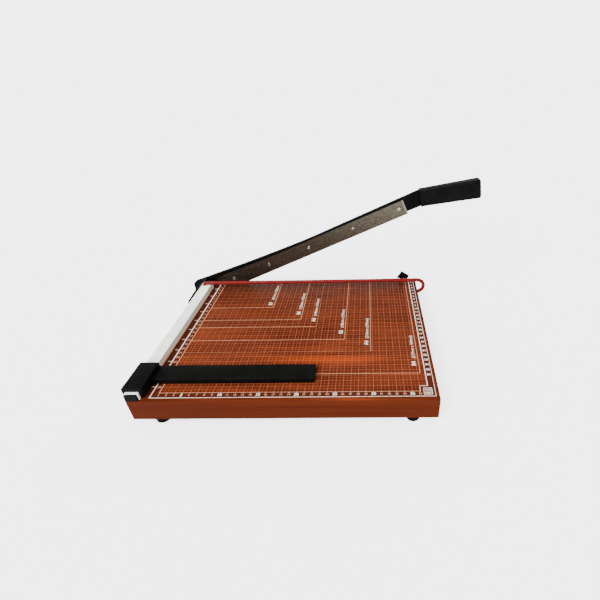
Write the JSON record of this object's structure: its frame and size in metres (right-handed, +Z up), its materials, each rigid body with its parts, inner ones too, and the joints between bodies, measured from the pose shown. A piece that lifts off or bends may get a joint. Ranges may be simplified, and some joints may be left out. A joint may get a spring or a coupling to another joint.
{
  "type": "guillotine paper cutter",
  "caption": "Desk paper cutter: wood board with a printed table, side fence, sliding paper stop, red guard rod and a long hinged arm with a blade and a grip.",
  "frame": {"origin": "on the desk under the centre of the bounding box", "axes": "+X runs right along the cutting edge from the pivot to the grip, +Y runs away from the user, +Z is up"},
  "size_m": [0.5338, 0.3256, 0.2356],
  "materials": {
    "board": "satin brown stain",
    "film": "satin printed film with red-brown wood grain",
    "fence_paint": "white enamel",
    "red_coat": "glossy red coating",
    "black_paint": "satin black enamel",
    "black_plastic": "fine black texture",
    "grip_plastic": "satin black moulding",
    "blade_steel": "ground steel, oiled",
    "zinc_steel": "zinc plated",
    "spring_steel": "dark spring steel",
    "rubber": "matt black rubber"
  },
  "bodies": {
    "base": {"base_board": "board", "grid_sheet": "film", "lower_blade": "blade_steel", "lower_blade_screw_1": "zinc_steel", "lower_blade_screw_2": "zinc_steel", "lower_blade_screw_3": "zinc_steel", "lower_blade_screw_4": "zinc_steel", "fence_rail": "fence_paint", "fence_plug_front": "black_plastic", "fence_plug_screw_front": "zinc_steel", "fence_plug_rear": "black_plastic", "fence_plug_screw_rear": "zinc_steel", "guard_rod": "red_coat", "pivot_bracket": "black_paint", "bracket_screw_1": "black_paint", "bracket_screw_2": "black_paint", "bracket_screw_3": "black_paint", "pivot_bolt": "black_paint", "pivot_washer_front": "zinc_steel", "pivot_washer_rear": "zinc_steel", "disc_spring": "spring_steel", "pivot_nut": "zinc_steel", "foot_front_left": "rubber", "foot_screw_front_left": "zinc_steel", "foot_front_right": "rubber", "foot_screw_front_right": "zinc_steel", "foot_rear_left": "rubber", "foot_screw_rear_left": "zinc_steel", "foot_rear_right": "rubber", "foot_screw_rear_right": "zinc_steel", "latch_spacer": "zinc_steel", "latch_screw": "black_paint"},
    "paper_stop": {"stop_saddle": "black_plastic", "stop_bar": "black_plastic", "stop_bar_screw_1": "zinc_steel", "stop_bar_screw_2": "zinc_steel", "stop_spring": "spring_steel"},
    "arm": {"arm_bar": "black_paint", "cutting_blade": "blade_steel", "blade_screw_1": "zinc_steel", "blade_screw_2": "zinc_steel", "blade_screw_3": "zinc_steel", "blade_screw_4": "zinc_steel", "blade_screw_5": "zinc_steel", "grip": "grip_plastic", "grip_screw": "zinc_steel", "lock_stud": "zinc_steel"},
    "latch": {"latch_plate": "black_paint"}
  },
  "joints": [
    {"name": "arm_swing", "type": "hinge", "parent": "base", "child": "arm", "pos_m": [-0.25141, 0.14822, 0.0356], "axis": [0, -1, 0], "range_deg": [-19.8, 50]},
    {"name": "stop_slide", "type": "slide", "parent": "base", "child": "paper_stop", "axis": [0, 1, 0], "range_m": [0, 0.163]},
    {"name": "latch_swing", "type": "hinge", "parent": "base", "child": "latch", "pos_m": [0.12699, 0.15388, 0.0262], "axis": [0, -1, 0], "range_deg": [-60, 54]}
  ]
}
